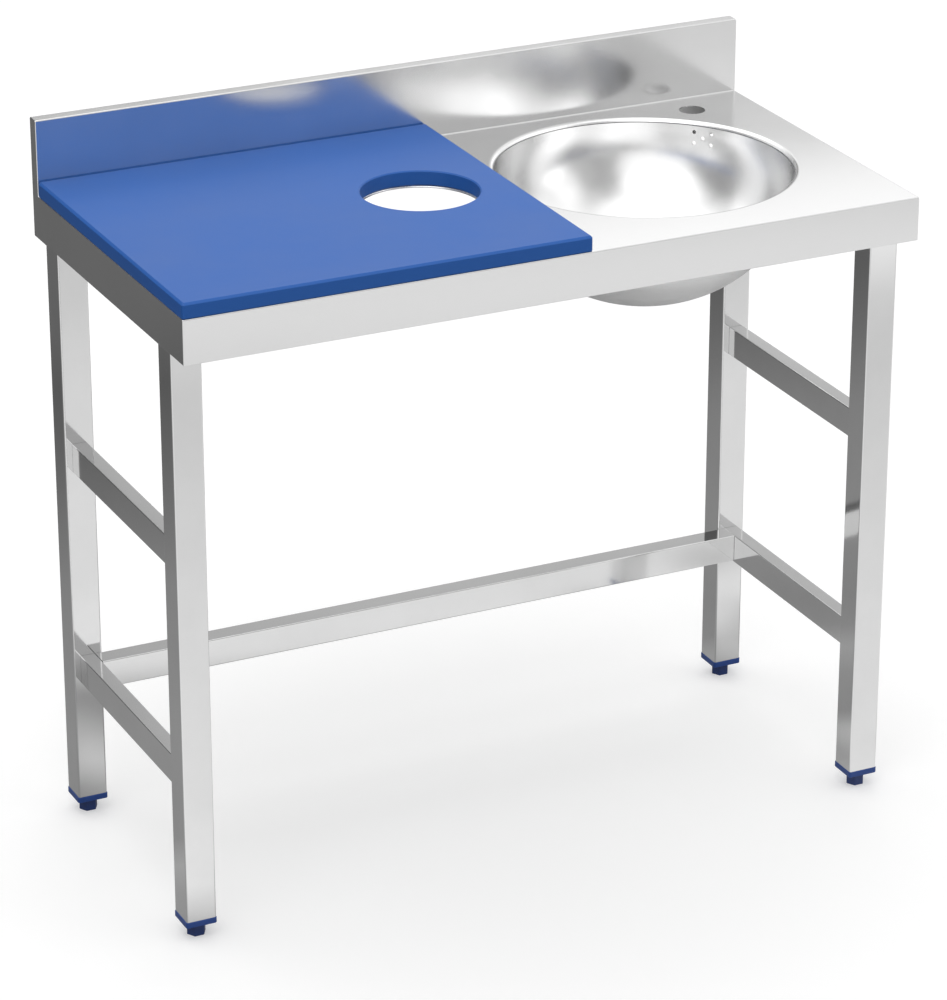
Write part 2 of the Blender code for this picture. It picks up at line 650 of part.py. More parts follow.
def make_side_rails():
    front = FRONT_LEG_Y + LEG_WIDTH / 2 + SEAT_GAP
    rear = REAR_LEG_Y - LEG_WIDTH / 2 - SEAT_GAP
    for level, top in {"upper": UPPER_RAIL_TOP, "lower": LOWER_RAIL_TOP}.items():
        for side_name, side in SIDES.items():
            low = (side * LEG_X - SIDE_RAIL_WIDTH / 2, front, top - SIDE_RAIL_HEIGHT)
            high = (side * LEG_X + SIDE_RAIL_WIDTH / 2, rear, top)
            add_tube(f"side_rail_{level}_{side_name}", low, high, 1, RAIL_WALL, RAIL_CORNER, TUBE_STEEL)


def make_rear_rail():
    """Long rail between the lower side rails, against the front faces of the rear legs."""
    reach = LEG_X - SIDE_RAIL_WIDTH / 2 - SEAT_GAP
    back = REAR_LEG_Y - LEG_WIDTH / 2 - SEAT_GAP
    low = (-reach, back - REAR_RAIL_DEPTH, LOWER_RAIL_TOP - REAR_RAIL_HEIGHT)
    add_tube("rear_rail", low, (reach, back, LOWER_RAIL_TOP), 0, RAIL_WALL, RAIL_CORNER, TUBE_STEEL)


def channel_places():
    """One channel beside the chute, one halfway from it to the left legs."""
    beside_chute = CHUTE_X - CHUTE_RADIUS - CHUTE_BEND - CHANNEL_CHUTE_GAP - CHANNEL_FLANGE - CHANNEL_CROWN / 2
    halfway = (beside_chute - LEG_INNER_X) / 2
    return {"right": beside_chute, "left": halfway}


def make_channel(name, x):
    """Top-hat channel under the sheet, flanges up, from the front apron to the splashback fold."""
    half = CHANNEL_CROWN / 2
    edge = half + CHANNEL_FLANGE
    top = SHEET_UNDERSIDE - SEAT_GAP
    front = -HALF_DEPTH + SHEET + CHANNEL_END_GAP
    back = SPLASH_FACE_Y
    section = [(-edge, top), (-half, top), (-half, top - CHANNEL_DEPTH)]
    section += [(-across, up) for across, up in reversed(section)]
    mesh = bpy.data.meshes.new(name)
    count = len(section)
    points = [(across, y, up) for y in (front, back) for across, up in section]
    faces = [(i, i + 1, count + i + 1, count + i) for i in range(count - 1)]
    mesh.from_pydata(points, [], faces)
    channel = add_object(name, mesh, WORKTOP_STEEL)
    channel.location = (x, 0.0, 0.0)
    wall = channel.modifiers.new("sheet", "SOLIDIFY")
    wall.thickness = CHANNEL_SHEET
    wall.offset = -1.0
    wall.use_even_offset = True
    return channel


def build():
    make_worktop()
    make_bowl()
    make_board()
    for name, x in channel_places().items():
        make_channel(f"worktop_channel_{name}", x)
    make_side_rails()
    make_rear_rail()
    for side_name, side in SIDES.items():
        for end_name, leg_y in ENDS.items():
            place = f"{end_name}_{side_name}"
            make_leg(place, side, leg_y)
            make_bracket(place, side, leg_y)
            make_nut_plate(place, side, leg_y)
            for level, height in bolt_heights().items():
                make_bolt(place, level, side, leg_y, height)
            make_insert(place, side, leg_y)
            make_stud_nut(place, side, leg_y)
            make_foot(place, side, leg_y)


build()
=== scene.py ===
import math

import bmesh
import bpy
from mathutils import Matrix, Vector


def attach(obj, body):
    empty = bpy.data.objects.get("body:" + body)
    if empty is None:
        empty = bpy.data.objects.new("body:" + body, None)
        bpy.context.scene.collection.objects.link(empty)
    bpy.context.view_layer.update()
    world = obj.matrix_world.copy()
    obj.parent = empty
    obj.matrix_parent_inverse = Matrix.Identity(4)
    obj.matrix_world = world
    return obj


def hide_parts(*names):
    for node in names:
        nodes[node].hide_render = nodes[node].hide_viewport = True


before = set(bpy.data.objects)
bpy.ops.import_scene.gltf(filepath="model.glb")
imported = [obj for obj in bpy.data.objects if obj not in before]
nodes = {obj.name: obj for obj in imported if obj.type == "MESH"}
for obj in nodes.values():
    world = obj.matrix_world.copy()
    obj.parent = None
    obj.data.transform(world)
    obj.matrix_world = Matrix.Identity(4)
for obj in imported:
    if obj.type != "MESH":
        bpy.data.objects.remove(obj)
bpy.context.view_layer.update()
bpy.ops.object.select_all(action="DESELECT")
print("frame loaded:", len(nodes), "solids")


# selecting and shaping, as by hand

xAxis, yAxis, zAxis = range(3)
flatEnough = 0.99  # how squarely a picked face looks, or a picked edge runs, along its axis
uprightEnough = 0.1  # how little an upright face looks up or down
slack = 0.0002  # how far from its place something may lie and still be picked
weldReach = 0.00002  # how close two points are that become one


def only(piece):
    bpy.ops.object.select_all(action="DESELECT")
    piece.select_set(True)
    bpy.context.view_layer.objects.active = piece


def startEdit(piece, mode="FACE"):
    only(piece)
    bpy.ops.object.mode_set(mode="EDIT")
    bpy.ops.mesh.select_mode(type=mode)
    bpy.ops.mesh.select_all(action="DESELECT")


def endEdit():
    bpy.ops.object.mode_set(mode="OBJECT")


def pickFaces(piece, wanted):
    # wanted tells from a face's centre and normal whether it is picked
    bpy.ops.mesh.select_all(action="DESELECT")
    cage = bmesh.from_edit_mesh(piece.data)
    for face in cage.faces:
        if wanted(face.calc_center_median(), face.normal):
            face.select_set(True)
    bmesh.update_edit_mesh(piece.data)


def pickEdges(piece, wanted):
    # wanted tells from an edge's two ends whether it is picked
    bpy.ops.mesh.select_all(action="DESELECT")
    cage = bmesh.from_edit_mesh(piece.data)
    for edge in cage.edges:
        if wanted(edge.verts[0].co, edge.verts[1].co):
            edge.select_set(True)
    bmesh.update_edit_mesh(piece.data)


def deleteFaces(piece, wanted):
    pickFaces(piece, wanted)
    bpy.ops.mesh.delete(type="FACE")


def along(axis):
    # tells an edge that runs along one axis
    return lambda a, b: abs((b - a).normalized()[axis]) > flatEnough


def atLevel(*heights):
    # tells an edge that lies level at one of the heights
    return lambda a, b: any(abs(a.z - z) < slack and abs(b.z - z) < slack for z in heights)


def fromMiddle(spot, hole):
    # level distance from the middle of a hole
    return math.hypot(spot.x - hole["x"], spot.y - hole["y"])


def onCircle(hole, radius, height):
    # tells an edge that lies on a level circle round the middle of a hole
    return lambda a, b: all(
        abs(fromMiddle(end, hole) - radius) < slack and abs(end.z - height) < slack for end in (a, b))


def addBlock(name, low, high):
    middle = [(a + b) / 2 for a, b in zip(low, high)]
    bpy.ops.mesh.primitive_cube_add(size=1.0, location=middle)
    block = bpy.context.object
    block.name = name
    block.scale = [b - a for a, b in zip(low, high)]
    bpy.ops.object.transform_apply(location=True, rotation=True, scale=True)
    return block


def addDrum(name, sides, radius, low, high, x=0.0, y=0.0, turn=0.0):
    bpy.ops.mesh.primitive_cylinder_add(
        vertices=sides, radius=radius, depth=high - low, location=(x, y, (low + high) / 2),
        rotation=(0.0, 0.0, turn))
    drum = bpy.context.object
    drum.name = name
    bpy.ops.object.transform_apply(location=True, rotation=True, scale=True)
    return drum


def applyModifier(piece, kind, **settings):
    only(piece)
    modifier = piece.modifiers.new(kind.lower(), kind)
    for key, value in settings.items():
        setattr(modifier, key, value)
    bpy.ops.object.modifier_apply(modifier=modifier.name)


def cut(piece, cutter):
    applyModifier(piece, "BOOLEAN", operation="DIFFERENCE", solver="EXACT", object=cutter)
    bpy.data.objects.remove(cutter, do_unlink=True)


def drill(piece, sides, radius, depth, place, bearing=0.0):
    # a level round hole through an upright wall
    bpy.ops.mesh.primitive_cylinder_add(
        vertices=sides, radius=radius, depth=depth, location=place, rotation=(0.0, math.pi / 2, bearing))
    cut(piece, bpy.context.object)


def bevelPicked(offset, segments=1):
    bpy.ops.mesh.bevel(
        offset=offset, offset_type="OFFSET", segments=segments, profile=0.5, affect="EDGES")


def drawProfile(name, points, x=0.0, y=0.0):
    # one point, extruded from place to place
    bpy.ops.mesh.primitive_plane_add(size=0.001, location=(x + points[0][0], y, points[0][1]))
    line = bpy.context.object
    line.name = name
    bpy.ops.object.transform_apply(location=True, rotation=True, scale=True)
    startEdit(line, "VERT")
    bpy.ops.mesh.select_all(action="SELECT")
    bpy.ops.mesh.merge(type="CENTER")
    for before, after in zip(points, points[1:]):
        step = (after[0] - before[0], 0.0, after[1] - before[1])
        bpy.ops.mesh.extrude_region_move(TRANSFORM_OT_translate={"value": step})
    endEdit()
    return line


def turnProfile(name, points, x, y, steps):
    turned = drawProfile(name, points, x, y)
    startEdit(turned, "VERT")
    bpy.ops.mesh.select_all(action="SELECT")
    bpy.ops.mesh.spin(steps=steps, angle=2 * math.pi, center=(x, y, 0.0), axis=(0.0, 0.0, 1.0))
    bpy.ops.mesh.select_all(action="SELECT")
    bpy.ops.mesh.remove_doubles(threshold=weldReach)
    bpy.ops.mesh.normals_make_consistent(inside=False)
    endEdit()
    return turned


def roundedRim(hole, height):
    # from a hole's wall up its slope and over the bend to the flat round it
    points = []
    for i in range(hole["bendSteps"] + 1):
        angle = math.radians(hole["slope"]) * (1 - i / hole["bendSteps"])
        drop = hole["bend"] * (1 - math.cos(angle))
        points.append((hole["outer"] - hole["bend"] * math.sin(angle), height - drop))
    return points


def smoothPiece(piece, degrees=32):
    # large flats first get simple faces, so that they stay flat
    startEdit(piece)
    bpy.ops.mesh.select_face_by_sides(number=8, type="GREATER", extend=False)
    bpy.ops.mesh.quads_convert_to_tris(quad_method="BEAUTY", ngon_method="BEAUTY")
    endEdit()
    bpy.ops.object.shade_smooth_by_angle(angle=math.radians(degrees))
    applyModifier(piece, "WEIGHTED_NORMAL", keep_sharp=True, weight=50)


def copyTo(piece, name, x, y):
    only(piece)
    bpy.ops.object.duplicate()
    copy = bpy.context.object
    copy.name = name
    copy.location = (x, y, 0.0)
    bpy.ops.object.transform_apply(location=True, rotation=True, scale=True)
    return copy


def dress(piece, *finishes):
    piece.data.materials.clear()
    for finish in finishes:
        piece.data.materials.append(finish)


def finishPicked(piece, finish):
    piece.active_material_index = piece.data.materials.find(finish.name)
    bpy.ops.object.material_slot_assign()


def placePiece(piece, slot, body, *stoodFor):
    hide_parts(*stoodFor)
    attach(piece, body)


def fitPiece(piece, finish, slot, body, *stoodFor):
    dress(piece, finish)
    placePiece(piece, slot, body, *stoodFor)


# building with nodes

def plug(tree, socket, value):
    # a number or colour is set, another node's output is linked
    if isinstance(value, bpy.types.NodeSocket):
        tree.links.new(value, socket)
    else:
        socket.default_value = value


def addNode(tree, kind, *inputs, **settings):
    # inputs fill the node's sockets in their order, settings go to a socket or property by name
    node = tree.nodes.new(kind)
    for key, value in settings.items():
        if key in node.inputs:
            plug(tree, node.inputs[key], value)
        else:
            setattr(node, key, value)
    for socket, value in zip(node.inputs, inputs):
        plug(tree, socket, value)
    return node


def calculate(tree, operation, *values):
    return addNode(tree, "ShaderNodeMath", *values, operation=operation).outputs[0]


def spread(tree, value, low, high, fromLow=0.3, fromHigh=0.7):
    # a range of values, by default the middle one of a noise, spread from low to high
    return addNode(tree, "ShaderNodeMapRange", value, fromLow, fromHigh, low, high).outputs["Result"]


def fade(tree, value, near, far, atNear, atFar):
    # as spread, but with a soft start and end
    ramp = addNode(
        tree, "ShaderNodeMapRange", value, near, far, atNear, atFar, interpolation_type="SMOOTHSTEP")
    return ramp.outputs["Result"]


def mixColours(tree, share, first, second):
    # a Mix node's sockets 6 and 7 are its colours, and its output 2 is the mixed one
    mix = addNode(tree, "ShaderNodeMix", share, data_type="RGBA")
    plug(tree, mix.inputs[6], first)
    plug(tree, mix.inputs[7], second)
    return mix.outputs[2]


def grey(tone):
    return (tone, tone, tone, 1.0)


def reachFrom(tree, x, y, wide=1.0, deep=1.0):
    # level distance from a place, with the given width and depth as one
    place = addNode(tree, "ShaderNodeTexCoord")
    shifted = addNode(
        tree, "ShaderNodeMapping", place.outputs["Object"],
        Location=(-x / wide, -y / deep, 0.0), Scale=(1 / wide, 1 / deep, 0.0))
    length = addNode(tree, "ShaderNodeVectorMath", shifted.outputs["Vector"], operation="LENGTH")
    return length.outputs["Value"]


# finishes

even = (1.0, 1.0, 1.0)  # a grain that runs no way more than another


def stretchedNoise(tree, grain, scale, detail):
    # noise on the piece's own coordinates, drawn out along the axis whose grain is small
    place = addNode(tree, "ShaderNodeTexCoord")
    mapping = addNode(tree, "ShaderNodeMapping", place.outputs["Object"], Scale=grain)
    noise = addNode(
        tree, "ShaderNodeTexNoise", mapping.outputs["Vector"], Scale=scale, Detail=detail, Roughness=0.6)
    return noise.outputs["Fac"]


def newFinish(name):
    finish = bpy.data.materials.new(name)
    finish.use_nodes = True
    tree = finish.node_tree
    return finish, tree, tree.nodes["Principled BSDF"]


def completeFinish(tree, shader, colour, roughness, pattern, height):
    # the bump follows the pattern
    bump = addNode(tree, "ShaderNodeBump", Strength=1.0, Distance=height, Height=pattern)
    tree.links.new(colour, shader.inputs["Base Color"])
    tree.links.new(roughness, shader.inputs["Roughness"])
    tree.links.new(bump.outputs["Normal"], shader.inputs["Normal"])


# tone is the darkest and lightest grey, gloss the lowest and highest roughness
def steelFinish(name, grain, tone, gloss, lineHeight, cloud=9.0):
    finish, tree, shader = newFinish(name)
    shader.inputs["Metallic"].default_value = 1.0
    lines = stretchedNoise(tree, grain, scale=900.0, detail=3.0)
    clouds = stretchedNoise(tree, even, scale=cloud, detail=4.0)
    colour = mixColours(tree, spread(tree, clouds, 0.0, 1.0), grey(tone[0]), grey(tone[1]))
    mixed = calculate(tree, "MULTIPLY_ADD", lines, 0.5, spread(tree, clouds, 0.0, 0.5))
    roughness = spread(tree, mixed, gloss[0], gloss[1], fromLow=0.15, fromHigh=0.85)
    completeFinish(tree, shader, colour, roughness, lines, lineHeight)
    return finish


def spunFinish(name, tone, gloss, ringHeight):
    # fine rings round the bowl's axis, and a soft cloudiness
    finish, tree, shader = newFinish(name)
    shader.inputs["Metallic"].default_value = 1.0
    place = addNode(tree, "ShaderNodeTexCoord")
    parts = addNode(tree, "ShaderNodeSeparateXYZ", place.outputs["Object"])
    reach = reachFrom(tree, bowl["x"], bowl["y"])
    ringPlace = addNode(tree, "ShaderNodeCombineXYZ", X=reach, Z=parts.outputs["Z"])
    rings = addNode(tree, "ShaderNodeTexNoise", ringPlace.outputs[0], Scale=450.0, Detail=2.0)
    clouds = stretchedNoise(tree, even, scale=14.0, detail=4.0)
    colour = mixColours(tree, spread(tree, clouds, 0.0, 1.0), grey(tone[0]), grey(tone[1]))
    roughness = spread(tree, clouds, gloss[0], gloss[1])
    completeFinish(tree, shader, colour, roughness, rings.outputs["Fac"], ringHeight)
    return finish


def plasticFinish(name, dark, light, gloss, pebbles, pebbleHeight=0.00002, sheen=0.5):
    finish, tree, shader = newFinish(name)
    shader.inputs["Specular IOR Level"].default_value = sheen
    clouds = stretchedNoise(tree, even, scale=6.0, detail=4.0)
    pattern = stretchedNoise(tree, even, scale=pebbles, detail=2.0)
    colour = mixColours(tree, spread(tree, clouds, 0.0, 1.0), (*dark, 1.0), (*light, 1.0))
    roughness = spread(tree, clouds, gloss[0], gloss[1])
    completeFinish(tree, shader, colour, roughness, pattern, pebbleHeight)
    return finish


# the bowl's place is needed for its finish and for the worktop's opening
bowl = {
    "x": 0.2435, "y": 0.0072, "radius": 0.1932, "outer": 0.1994,
    "bend": 0.0064, "slope": 75.0, "bendSteps": 12, "collar": 0.0057,
    "top": 0.8442, "straight": 0.0095, "depth": 0.176, "sheet": 0.001, "steps": 160, "curveSteps": 40,
    "seat": 0.042, "seatFlat": 0.037, "seatDrop": 0.004, "seatRound": 0.0015, "seatSteps": 4, "drain": 0.026,
    "spotRadius": 0.0027, "spotSteps": 32, "spotDepth": 0.03,
    "spotBearing": 38.4, "spotHeight": 0.8282, "spotAcross": 0.0122, "spotUp": 0.0075,
}

worktopSteel = steelFinish(
    "brushed worktop steel", grain=(0.06, 1.0, 1.0), tone=(0.78, 0.82), gloss=(0.15, 0.21),
    lineHeight=0.00001)
undersideSteel = steelFinish(
    "dull steel of the underside", grain=(1.0, 0.2, 1.0), tone=(0.84, 0.90), gloss=(0.50, 0.60),
    lineHeight=0.00001)
edgeSteel = steelFinish(
    "polished edge steel", grain=even, tone=(0.90, 0.94), gloss=(0.24, 0.32), lineHeight=0.000002)
# painted shade: a dark steel that stands in for the shadow in the narrow gap where the bowl meets the worktop
seamShadeSteel = steelFinish(
    "painted shade in the bowl seam", grain=even, tone=(0.16, 0.22), gloss=(0.45, 0.55), lineHeight=0.000002)
bowlSteel = spunFinish(
    "spun bowl steel", tone=(0.81, 0.85), gloss=(0.18, 0.24), ringHeight=0.000003)
bowlOuterSteel = spunFinish(
    "dull outside of the bowl", tone=(0.71, 0.76), gloss=(0.40, 0.50), ringHeight=0.000003)
tubeLook = {"tone": (0.74, 0.78), "gloss": (0.07, 0.11), "lineHeight": 0.000004}
uprightSteel = steelFinish("bright tube steel, upright", grain=(1.0, 1.0, 0.04), **tubeLook)
deepSteel = steelFinish("bright tube steel, front to back", grain=(1.0, 0.04, 1.0), **tubeLook)
longSteel = steelFinish("bright tube steel, lengthwise", grain=(0.04, 1.0, 1.0), **tubeLook)
fixingSteel = steelFinish(
    "zinc plated steel", grain=even, tone=(0.48, 0.58), gloss=(0.30, 0.42), lineHeight=0.00002, cloud=60.0)
millSteel = steelFinish(
    "mill finish steel", grain=(1.0, 0.08, 1.0), tone=(0.58, 0.66), gloss=(0.30, 0.38), lineHeight=0.00001)
boardBlue = plasticFinish(
    "blue polyethylene", dark=(0.014, 0.112, 0.435), light=(0.017, 0.120, 0.460), gloss=(0.42, 0.50),
    pebbles=1400.0, sheen=0.42)
plateBlue = plasticFinish(
    "blue moulding", dark=(0.016, 0.060, 0.262), light=(0.020, 0.070, 0.302), gloss=(0.36, 0.46),
    pebbles=1800.0)
footBlue = plasticFinish(
    "dark blue moulding", dark=(0.020, 0.045, 0.170), light=(0.026, 0.056, 0.200), gloss=(0.34, 0.44),
    pebbles=1800.0)
print("finishes made")


# worktop: one folded sheet

top = {
    "halfX": 0.5, "halfY": 0.25, "height": 0.85, "apron": 0.058, "sheet": 0.0012,
    "bend": 0.0015, "bendSteps": 5, "lip": 0.015,
    "splashFace": 0.231, "splashTop": 0.95, "downturn": 0.020, "backReturn": 0.012,
    "notchSkin": 0.00135, "notchPast": 0.005,  # what a notch leaves outside, and its cutter's overlap
    "cutAbove": 0.01,  # how far the openings' cutters stand over the sheet
    "polishedTo": 0.88,  # how far up a polished face of a drawn edge may look
}
chute = {
    "x": -0.0805, "y": -0.0075, "radius": 0.078, "outer": 0.081,
    "bend": 0.003, "slope": 90.0, "bendSteps": 6, "collar": 0.0036, "steps": 128,
}
tap = {"x": 0.408, "y": 0.182, "radius": 0.0175, "depth": 0.006, "steps": 64}
legs = {
    "x": 0.4785, "front": -0.1844, "rear": 0.1932, "half": 0.020, "low": 0.0271, "high": 0.8457,
    "wall": 0.0012, "corner": 0.0025, "cornerSteps": 5, "gap": 0.0003,
    "drill": 0.0045, "drillSteps": 24, "drillDepth": 0.012, "drillHeights": (0.834, 0.810),
}
legPlaces = {
    "front_left": (-legs["x"], legs["front"]), "rear_left": (-legs["x"], legs["rear"]),
    "front_right": (legs["x"], legs["front"]), "rear_right": (legs["x"], legs["rear"]),
}
apronLow = top["height"] - top["apron"]


def foldSheet():
    # a box whose rear strip is drawn up into the splashback, with all its bends
    t = top
    sheet = addBlock(
        "worktop_sheet", (-t["halfX"], -t["halfY"], apronLow), (t["halfX"], t["halfY"], t["height"]))
    startEdit(sheet)
    bpy.ops.mesh.select_all(action="SELECT")
    bpy.ops.mesh.bisect(plane_co=(0.0, t["splashFace"], 0.0), plane_no=(0.0, 1.0, 0.0))
    pickFaces(sheet, lambda c, n: n.z > flatEnough and c.y > t["splashFace"])
    rise = t["splashTop"] - t["height"]
    bpy.ops.mesh.extrude_region_move(TRANSFORM_OT_translate={"value": (0.0, 0.0, rise)})
    bpy.ops.mesh.select_all(action="SELECT")
    bpy.ops.mesh.dissolve_limited(angle_limit=0.01)
    bpy.ops.mesh.select_all(action="SELECT")
    bevelPicked(t["bend"], t["bendSteps"])
    endEdit()
    return sheet


def cutOpenings(sheet):
    # first as blind holes with their drawn collars
    height = top["height"]
    above = height + top["cutAbove"]
    for hole in (bowl, chute):
        down = height - hole["collar"]
        points = [(0.0, down), (hole["radius"], down)] + roundedRim(hole, height)
        points += [(hole["outer"], above), (0.0, above)]
        cut(sheet, turnProfile("hole", points, hole["x"], hole["y"], hole["steps"]))
    cut(sheet, addDrum("hole", tap["steps"], tap["radius"], height - tap["depth"], above, tap["x"], tap["y"]))

    # then the floors of the blind holes and the tap hole's wall go
    startEdit(sheet)
    deleteFaces(sheet, lambda c, n: n.z > flatEnough and apronLow < c.z < height - slack)
    deleteFaces(sheet, lambda c, n: abs(n.z) < uprightEnough and fromMiddle(c, tap) < tap["radius"] + slack)
    endEdit()


def openUnderside(sheet):
    # the return lip stays all round
    startEdit(sheet)
    pickFaces(sheet, lambda c, n: n.z < -flatEnough)
    bpy.ops.mesh.inset(thickness=top["lip"] - top["bend"])
    bpy.ops.mesh.delete(type="FACE")
    endEdit()


def openSplashback(sheet):
    # its back stays as a strip at the top, at the ends and along the foot
    sill = top["height"] + top["backReturn"]
    head = top["splashTop"] - top["downturn"]
    side = top["halfX"] - top["backReturn"]
    startEdit(sheet)
    for place, normal in (
            ((0.0, 0.0, sill), (0.0, 0.0, 1.0)), ((0.0, 0.0, head), (0.0, 0.0, 1.0)),
            ((-side, 0.0, 0.0), (1.0, 0.0, 0.0)), ((side, 0.0, 0.0), (1.0, 0.0, 0.0))):
        pickFaces(sheet, lambda c, n: n.y > flatEnough)
        bpy.ops.mesh.bisect(plane_co=place, plane_no=normal)
    deleteFaces(sheet, lambda c, n: n.y > flatEnough and sill < c.z < head and abs(c.x) < side)
    endEdit()


def notchLip(sheet):
    # round each leg
    t = top
    reach = legs["half"] + legs["gap"]
    for x, y in legPlaces.values():
        side = math.copysign(1, x)
        ends = sorted((side * (t["halfX"] - t["notchSkin"]), side * (t["halfX"] - t["lip"] - t["notchPast"])))
        cut(sheet, addBlock(
            "notch", (ends[0], y - reach, apronLow - t["notchPast"]),
            (ends[1], y + reach, apronLow + t["sheet"] + t["bend"])))


def finishOpenings(sheet):
    startEdit(sheet)
    for hole in (bowl, chute):
        pickFaces(sheet, lambda c, n: (
            hole["radius"] - slack < fromMiddle(c, hole) < hole["outer"] and n.z < top["polishedTo"]))
        finishPicked(sheet, edgeSteel)

    # the last strip of the bowl's opening, where the bowl meets it, gets a dark steel as painted shade in the
    # seam
    pickFaces(sheet, lambda c, n: abs(n.z) < uprightEnough and fromMiddle(c, bowl) < bowl["radius"] + slack)
    finishPicked(sheet, seamShadeSteel)
    endEdit()


def makeWorktop():
    sheet = foldSheet()
    cutOpenings(sheet)
    openUnderside(sheet)
    openSplashback(sheet)
    dress(sheet, worktopSteel, undersideSteel, edgeSteel, seamShadeSteel)
    applyModifier(
        sheet, "SOLIDIFY", thickness=top["sheet"], offset=-1.0, use_even_offset=True, material_offset=1)
    notchLip(sheet)
    smoothPiece(sheet)
    finishOpenings(sheet)
    placePiece(sheet, "worktop_steel", "root", "worktop")


makeWorktop()
print("worktop folded")


# spun bowl

def bowlProfile():
    # down the straight wall, round the curve and over the waste seat to the drain
    b = bowl
    spring = b["top"] - b["straight"]
    rise = spring - (top["height"] - b["depth"])
    seatAngle = math.asin(b["seat"] / b["radius"])
    points = [(b["radius"], b["top"])]
    for i in range(b["curveSteps"] + 1):
        angle = math.pi / 2 - (math.pi / 2 - seatAngle) * i / b["curveSteps"]
        points.append((b["radius"] * math.sin(angle), spring - rise * math.cos(angle)))
    seatHeight = points[-1][1] - b["seatDrop"]
    return points + [(b["seatFlat"], seatHeight), (b["drain"], seatHeight)]


def makeBowl():
    b = bowl
    points = bowlProfile()
    shell = turnProfile("bowl_shell", points, b["x"], b["y"], b["steps"])
    seatEdge, seatFoot = points[-3:-1]
    startEdit(shell, "EDGE")
    for radius, height in (seatEdge, seatFoot):
        pickEdges(shell, onCircle(b, radius, height))
        bevelPicked(b["seatRound"], b["seatSteps"])
    endEdit()
    dress(shell, bowlOuterSteel, bowlSteel)
    applyModifier(
        shell, "SOLIDIFY", thickness=b["sheet"], offset=1.0, use_even_offset=True, material_offset=1)

    # overflow holes, set like the spots on a die
    for across, up in ((0, 0), (-1, -1), (-1, 1), (1, -1), (1, 1)):
        angle = math.radians(b["spotBearing"]) + across * b["spotAcross"] / b["radius"]
        place = (
            b["x"] + b["radius"] * math.cos(angle), b["y"] + b["radius"] * math.sin(angle),
            b["spotHeight"] + up * b["spotUp"])
        drill(shell, b["spotSteps"], b["spotRadius"], b["spotDepth"], place, angle)
    smoothPiece(shell)
    placePiece(shell, "bowl_steel", "root", "sink_bowl")


makeBowl()
print("bowl spun")


# cutting board

board = {
    "low": (-0.4996, -0.2496, 0.8503), "high": (0.039, 0.230, 0.8703), "corner": 0.004, "cornerSteps": 8,
    "chamfer": 0.0028, "lowerChamfer": 0.0006, "soften": 0.0005, "softenSteps": 2, "softenFrom": 38.0,
    "hole": 0.0755, "holeChamfer": 0.0015, "holePast": 0.002, "holeSteps": 128, "smoothTo": 20,
}


def makeBoard():
    b = board
    slab = addBlock("board_slab", b["low"], b["high"])
    low, high = b["low"][2], b["high"][2]
    startEdit(slab, "EDGE")
    pickEdges(slab, along(zAxis))
    bevelPicked(b["corner"], b["cornerSteps"])
    for level, chamfer in ((high, b["chamfer"]), (low, b["lowerChamfer"])):
        pickEdges(slab, atLevel(level))
        bevelPicked(chamfer)
    endEdit()
    applyModifier(
        slab, "BEVEL", width=b["soften"], segments=b["softenSteps"], limit_method="ANGLE",
        angle_limit=math.radians(b["softenFrom"]))

    # the hole's cutter flares out at both ends
    reach, flare = b["hole"], b["hole"] + b["holeChamfer"]
    under, over = low - b["holePast"], high + b["holePast"]
    points = [
        (0.0, under), (flare, under), (flare, low), (reach, low + b["holeChamfer"]),
        (reach, high - b["holeChamfer"]), (flare, high), (flare, over), (0.0, over)]
    cut(slab, turnProfile("hole", points, chute["x"], chute["y"], b["holeSteps"]))
    smoothPiece(slab, b["smoothTo"])
    fitPiece(slab, boardBlue, "board_plastic", "board", "cutting_board")


makeBoard()
print("cutting board made")


# legs and rails

rails = {
    "halfWidth": 0.010, "height": 0.040, "upper": 0.5325, "lower": 0.233,
    "rearDepth": 0.029, "rearHeight": 0.038, "wall": 0.0012, "corner": 0.0014, "cornerSteps": 4,
}


def makeTube(name, low, high, axis, sizes):
    tube = addBlock(name, low, high)
    startEdit(tube, "EDGE")
    pickEdges(tube, along(axis))
    bevelPicked(sizes["corner"], sizes["cornerSteps"])
    bpy.ops.mesh.select_mode(type="FACE")
    deleteFaces(tube, lambda c, n: abs(n[axis]) > flatEnough)
    endEdit()
    applyModifier(tube, "SOLIDIFY", thickness=sizes["wall"], offset=-1.0, use_even_offset=True)
    return tube


def makeLegs():
    s = legs
    for name, (x, y) in legPlaces.items():
        low = (x - s["half"], y - s["half"], s["low"])
        high = (x + s["half"], y + s["half"], s["high"])
        tube = makeTube(f"leg_tube_{name}", low, high, zAxis, s)
        inner = x - math.copysign(s["half"], x)
        for height in s["drillHeights"]:
            drill(tube, s["drillSteps"], s["drill"], s["drillDepth"], (inner, y, height))
        smoothPiece(tube)
        fitPiece(tube, uprightSteel, "tube_steel", "root", f"leg_{name}")


def makeRails():
    s = rails
    front = legs["front"] + legs["half"] + legs["gap"]
    rear = legs["rear"] - legs["half"] - legs["gap"]
    for level in ("upper", "lower"):
        for side, x in (("left", -legs["x"]), ("right", legs["x"])):
            low = (x - s["halfWidth"], front, s[level] - s["height"])
            high = (x + s["halfWidth"], rear, s[level])
            tube = makeTube(f"rail_tube_{level}_{side}", low, high, yAxis, s)
            smoothPiece(tube)
            fitPiece(tube, deepSteel, "tube_steel", "root", f"side_rail_{level}_{side}")
    reach = legs["x"] - s["halfWidth"] - legs["gap"]
    low = (-reach, rear - s["rearDepth"], s["lower"] - s["rearHeight"])
    tube = makeTube("rail_tube_rear", low, (reach, rear, s["lower"]), xAxis, s)
    smoothPiece(tube)
    fitPiece(tube, longSteel, "tube_steel", "root", "rear_rail")


makeLegs()
makeRails()
print("tubes made")


# feet, each made once on the origin's axis and copied to each leg

